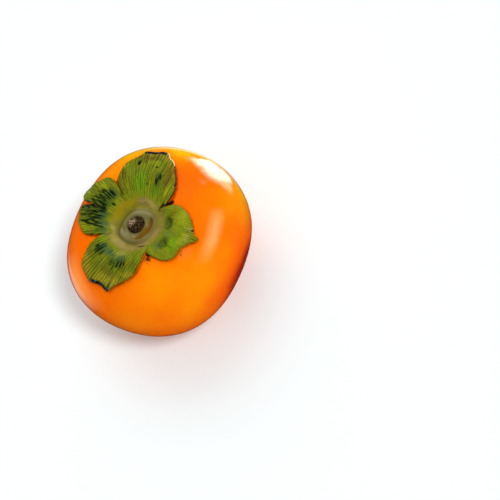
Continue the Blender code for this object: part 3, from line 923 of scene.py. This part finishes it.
# ------------------------------------------------------------------------------
# Orchard crumbs: bits of dried petal and dust caught in the clefts between the lobes, and a few
# loose specks on the skin beside them.
CRUMB_SEED = 11
# Each nest: the turn and reach of its middle, its half length and half width in mm, the way it
# points, how many crumbs, and their mean radius in mm.
CRUMB_NESTS = (
    (337.5, 14, 2.6, 0.45, -27, 90, 0.26), (336.5, 16, 0.8, 0.6, 0, 24, 0.26),
    (242.5, 17.6, 2.8, 1.5, 30, 110, 0.11), (243, 15.8, 1.4, 0.5, 60, 30, 0.22),
    (72.5, 17, 2.5, 0.35, 70, 30, 0.18), (153, 16.5, 1.6, 0.3, 150, 12, 0.16),
    (273.5, 24, 0.25, 0.2, 0, 4, 0.2), (276.5, 23.6, 0.25, 0.2, 0, 2, 0.14))
CRUMB_SPREAD = 0.45  # how widely the crumbs scatter, in half lengths and half widths
CRUMB_SIZES = (0.5, 1.6)  # the smallest and largest, as shares of the mean
CRUMB_LENGTHS = (0.7, 1.6)
CRUMB_HEIGHTS = (0.5, 0.9)
CRUMB_PERCH = 0.4  # how high a crumb's middle lies off the skin, in radii
CRUMB_DARK = paint(18, 8, 6)
CRUMB_BROWN = paint(70, 34, 14)
CRUMB_SCALE = 1800
CRUMB_ROUGHNESS = 0.9
CRUMB_SHEEN = 0.1

chance = random.Random(CRUMB_SEED)
crumb_shape = bmesh.new()
for turn, reach, long, wide, lean, count, radius in CRUMB_NESTS:
    for _ in range(count):
        spot = plan(turn, reach)
        spot += plan(lean, long * chance.gauss(0, CRUMB_SPREAD))
        spot += plan(lean + 90, wide * chance.gauss(0, CRUMB_SPREAD))
        around, distance = math.atan2(spot.y, spot.x), spot.length
        size = MM * radius * chance.uniform(*CRUMB_SIZES)
        ground = crown_point(around, distance) + CRUMB_PERCH * size * crown_normal(around, distance)
        stretch = Vector((chance.uniform(*CRUMB_LENGTHS), chance.uniform(*CRUMB_LENGTHS),
                          chance.uniform(*CRUMB_HEIGHTS))) * size
        turned = Matrix.Rotation(chance.uniform(0, math.tau), 4, "Z")
        bmesh.ops.create_icosphere(crumb_shape, subdivisions=1, radius=1,
                                   matrix=Matrix.Translation(ground) @ turned @ Matrix.Diagonal((*stretch, 1)))

crumb_material, tree, shader = new_material("orchard_crumb")
crumb_colour = blend_colours(tree, mottled(tree, object_place(tree), CRUMB_SCALE), CRUMB_DARK, CRUMB_BROWN)
feed(tree, shader, {"Base Color": crumb_colour, "Roughness": CRUMB_ROUGHNESS,
                    "Specular IOR Level": CRUMB_SHEEN})

new_piece("cleft_crumbs", crumb_shape, crumb_material)


# ------------------------------------------------------------------------------
# The stage: a plain white floor, a key sun, a very soft second sun without shadows, soft cards that
# only the gloss shows, an even pale surround, and a long-lens camera that looks down on the calyx.
# The floor is a little cool, to balance the warm light that the fruit throws on it.
FLOOR_SIZE = 6.0
FLOOR_WHITE = (0.80, 0.86, 0.87, 1)
FLOOR_IN_GLOSS = (0.02, 0.02, 0.02, 1)
SURROUND_WHITE = (1.0, 0.985, 0.98, 1)
SURROUND_STRENGTH = 0.52
SURROUND_IN_GLOSS = 0.005
CARD_CLOUDS = 5.0  # clouds of raggedness across a card
VIEW_RISE = math.radians(59.8)
CAMERA_ROLL = math.radians(48.2)
CAMERA_DISTANCE = 0.7707
CAMERA_LENS = 135
CAMERA_CLIP_START = 0.01
AIM_RIGHT = math.radians(2.80)
AIM_DOWN = math.radians(0.30)

floor_shape = bmesh.new()
bmesh.ops.create_grid(floor_shape, x_segments=1, y_segments=1, size=FLOOR_SIZE / 2)
floor_mesh = bpy.data.meshes.new("floor")
floor_shape.to_mesh(floor_mesh)
floor_shape.free()
floor_material, tree, shader = new_material("floor_white")
feed(tree, shader, {"Base Color": FLOOR_WHITE, "Roughness": 1.0, "Specular IOR Level": 0.0})
dimmed = add_node(tree, "ShaderNodeBsdfDiffuse", {"Color": FLOOR_IN_GLOSS})
rays = add_node(tree, "ShaderNodeLightPath")
seen = add_node(tree, "ShaderNodeMixShader", {0: rays.outputs["Is Glossy Ray"], 1: shader.outputs["BSDF"],
                                              2: dimmed.outputs["BSDF"]})
tree.links.new(seen.outputs["Shader"], tree.nodes["Material Output"].inputs["Surface"])
floor_mesh.materials.append(floor_material)
floor = bpy.data.objects.new("floor", floor_mesh)
bpy.context.scene.collection.objects.link(floor)

world = bpy.data.worlds.new("studio")
world.use_nodes = True
tree = world.node_tree
rays = add_node(tree, "ShaderNodeLightPath")
strength = spread(tree, rays.outputs["Is Glossy Ray"], 0.0, 1.0, SURROUND_STRENGTH, SURROUND_IN_GLOSS)
feed(tree, tree.nodes["Background"], {"Color": SURROUND_WHITE, "Strength": strength})
bpy.context.scene.world = world

middle = Vector((0, 0, WIDEST_LEVEL))


def compass(turn, rise, away):
    """The point this far from the fruit's middle, at a turn and a rise in degrees."""
    turn, rise = math.radians(turn), math.radians(rise)
    level = Vector((math.cos(turn) * math.cos(rise), math.sin(turn) * math.cos(rise), math.sin(rise)))
    return middle + away * level


def add_light(name, kind, place, facing, energy, gloss, roll=0.0, **settings):
    """A light at a place, facing a point, that shows either in gloss or in plain shading."""
    light = bpy.data.lights.new(name, kind)
    light.energy = energy
    for setting, value in settings.items():
        setattr(light, setting, value)
    lamp = bpy.data.objects.new(name, light)
    turned = (place - facing).to_track_quat("Z", "Y").to_matrix().to_4x4()
    lamp.matrix_world = Matrix.Translation(place) @ turned @ Matrix.Rotation(math.radians(roll), 4, "Z")
    lamp.visible_camera = False
    lamp.visible_glossy = gloss
    lamp.visible_diffuse = not gloss
    bpy.context.scene.collection.objects.link(lamp)
    return lamp


def soften(lamp, left, right, low, high, ragged):
    """Fades a card towards its edges, over these shares of its width and height, raggedly or not."""
    lamp.data.use_nodes = True
    tree = lamp.data.node_tree
    spot = add_node(tree, "ShaderNodeNewGeometry").outputs["Parametric"]
    shaken = add_node(tree, "ShaderNodeTexNoise", {"Vector": spot, "Scale": CARD_CLOUDS, "Detail": 2.0})
    shaken = add_node(tree, "ShaderNodeVectorMath", {0: shaken.outputs["Color"], 1: (0.5, 0.5, 0.5)},
                      operation="SUBTRACT")
    shaken = add_node(tree, "ShaderNodeVectorMath", {0: shaken.outputs[0], "Scale": ragged}, operation="SCALE")
    spot = add_node(tree, "ShaderNodeVectorMath", {0: spot, 1: shaken.outputs[0]}).outputs["Vector"]
    spot = add_node(tree, "ShaderNodeSeparateXYZ", {"Vector": spot}).outputs
    glow = joined(tree, spread(tree, spot["X"], 0, left), spread(tree, spot["X"], 1, 1 - right))
    glow = joined(tree, glow, spread(tree, spot["Y"], 0, low))
    glow = joined(tree, glow, spread(tree, spot["Y"], 1, 1 - high))
    tree.links.new(glow, tree.nodes["Emission"].inputs["Strength"])


# Each sun: the turn and rise it shines from, its strength, its spread, and whether it casts shadows.
SUNS = {"key": (-65, 57, 1.65, 13, True), "side_fill": (55, 42, 1.30, 60, False)}
# Each card: its place and the point it faces, its power in watts, its roll in degrees, its width and
# height, its colour, how far it fades from its left, right, low and high edges, and how raggedly.
CARDS = {
    "window_card": ((0.0798, 0.0180, 0.0332), (0.0081, 0.0180, 0.0668), 0.24, -38,
                    (0.060, 0.064), (1.0, 0.93, 0.80), (0.3, 0.35, 0.35, 0.35), 0.5),
    "softbox": (compass(-46, 25, 0.6), middle, 4.8, 0,
                (0.50, 0.37), (1.0, 0.92, 0.48), (0.35, 0.35, 0.4, 0.4), 0.2),
    "left_card": ((-0.090, 0.050, 0.034), (0, 0, 0.036), 0.050, 0,
                  (0.10, 0.066), (1.0, 0.84, 0.28), (0.4, 0.4, 0.3, 0.4), 0.0),
    "floor_card": ((-0.085, 0.062, 0.002), (-0.085, 0.062, 0.1), 0.03, 0,
                   (0.07, 0.09), (1.0, 0.88, 0.7), (0.3, 0.3, 0.3, 0.3), 0.0),
    "rim_card": ((0.056, 0.050, 0.002), (0.056, 0.050, 0.1), 0.016, 0,
                 (0.036, 0.11), (1.0, 0.94, 0.75), (0.3, 0.3, 0.35, 0.35), 0.0),
    "spark_card": ((0.0994, 0.0135, 0.0803), (0.029, -0.008, 0.049), 0.0035, 0,
                   (0.020, 0.015), (1.0, 0.85, 0.7), (0.45, 0.45, 0.45, 0.45), 0.3),
}
for name, (turn, rise, strength, angle, shadows) in SUNS.items():
    add_light(name, "SUN", compass(turn, rise, 1.0), middle, strength, False, angle=math.radians(angle),
              use_shadow=shadows)
for name, (place, facing, power, roll, (width, height), colour, fades, ragged) in CARDS.items():
    card = add_light(name, "AREA", Vector(place), Vector(facing), power, True, roll, shape="RECTANGLE",
                     size=width, size_y=height, color=colour)
    soften(card, *fades, ragged)

lens = bpy.data.cameras.new("camera")
lens.lens = CAMERA_LENS
lens.clip_start = CAMERA_CLIP_START
camera = bpy.data.objects.new("camera", lens)
upright = Matrix.Rotation(math.pi / 2 - VIEW_RISE, 4, "X") @ Matrix.Rotation(-CAMERA_ROLL, 4, "Z")
aimed = Matrix.Rotation(-AIM_RIGHT, 4, "Y") @ Matrix.Rotation(-AIM_DOWN, 4, "X")
camera_place = Matrix.Translation(compass(-90, math.degrees(VIEW_RISE), CAMERA_DISTANCE))
camera.matrix_world = camera_place @ upright @ aimed
bpy.context.scene.collection.objects.link(camera)
bpy.context.scene.camera = camera
bpy.context.scene.view_settings.view_transform = "Standard"
